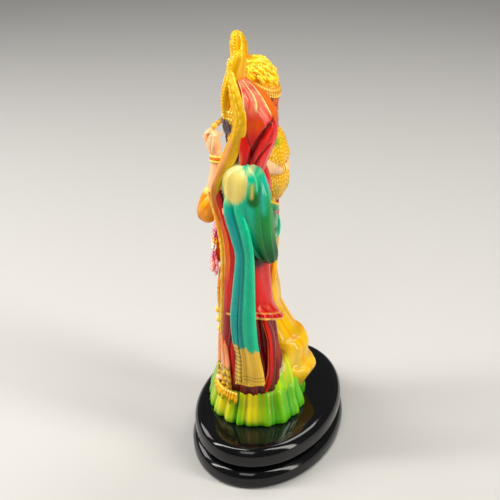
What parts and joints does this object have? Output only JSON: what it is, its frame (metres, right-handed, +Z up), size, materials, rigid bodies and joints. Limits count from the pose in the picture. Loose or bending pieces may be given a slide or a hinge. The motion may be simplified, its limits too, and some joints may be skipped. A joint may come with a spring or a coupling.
{
  "type": "radha krishna statue",
  "caption": "Glossy painted resin figurine of a flute player and his veiled consort standing on a fluted mound and a black oval plinth with rounded steps.",
  "frame": {"origin": "centre of the plinth's underside", "axes": "+Z up, the figures face -Y, and the plinth's long axis runs along X with the veiled figure at +X"},
  "size_m": [0.1306, 0.088, 0.2433],
  "materials": {
    "painted_resin": "gloss",
    "gloss_black_resin": "gloss"
  },
  "bodies": {
    "root": {"couple_on_mound": "painted_resin", "plinth": "gloss_black_resin"}
  },
  "joints": []
}
